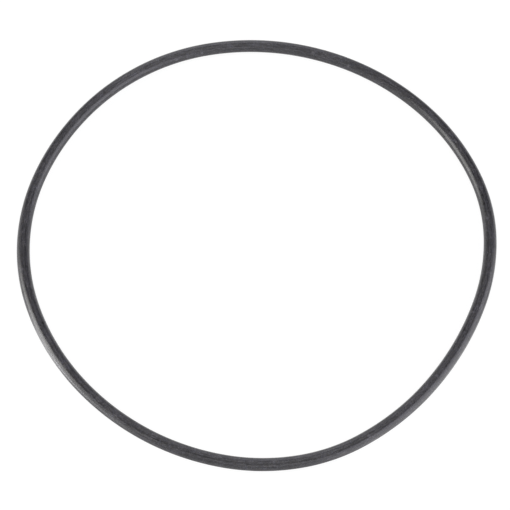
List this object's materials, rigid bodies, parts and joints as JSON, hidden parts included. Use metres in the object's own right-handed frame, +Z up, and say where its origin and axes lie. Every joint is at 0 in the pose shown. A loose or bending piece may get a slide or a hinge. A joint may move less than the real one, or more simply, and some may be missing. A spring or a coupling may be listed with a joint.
{
  "type": "rubber o-ring",
  "caption": "Round-section rubber sealing ring, one closed loop that lies flat and slightly out of round and seals between two parts when squeezed in a groove.",
  "frame": {"origin": "centre of mass of the ring, on its middle plane", "axes": "+Z up, across the flat ring; +X to the right and +Y away from the viewer of the picture"},
  "size_m": [0.1344, 0.1347, 0.0036],
  "materials": {
    "rubber": "satin black nitrile rubber with a faint grey bloom and specks of dust"
  },
  "bodies": {
    "root": {"o_ring": "rubber"}
  },
  "joints": []
}
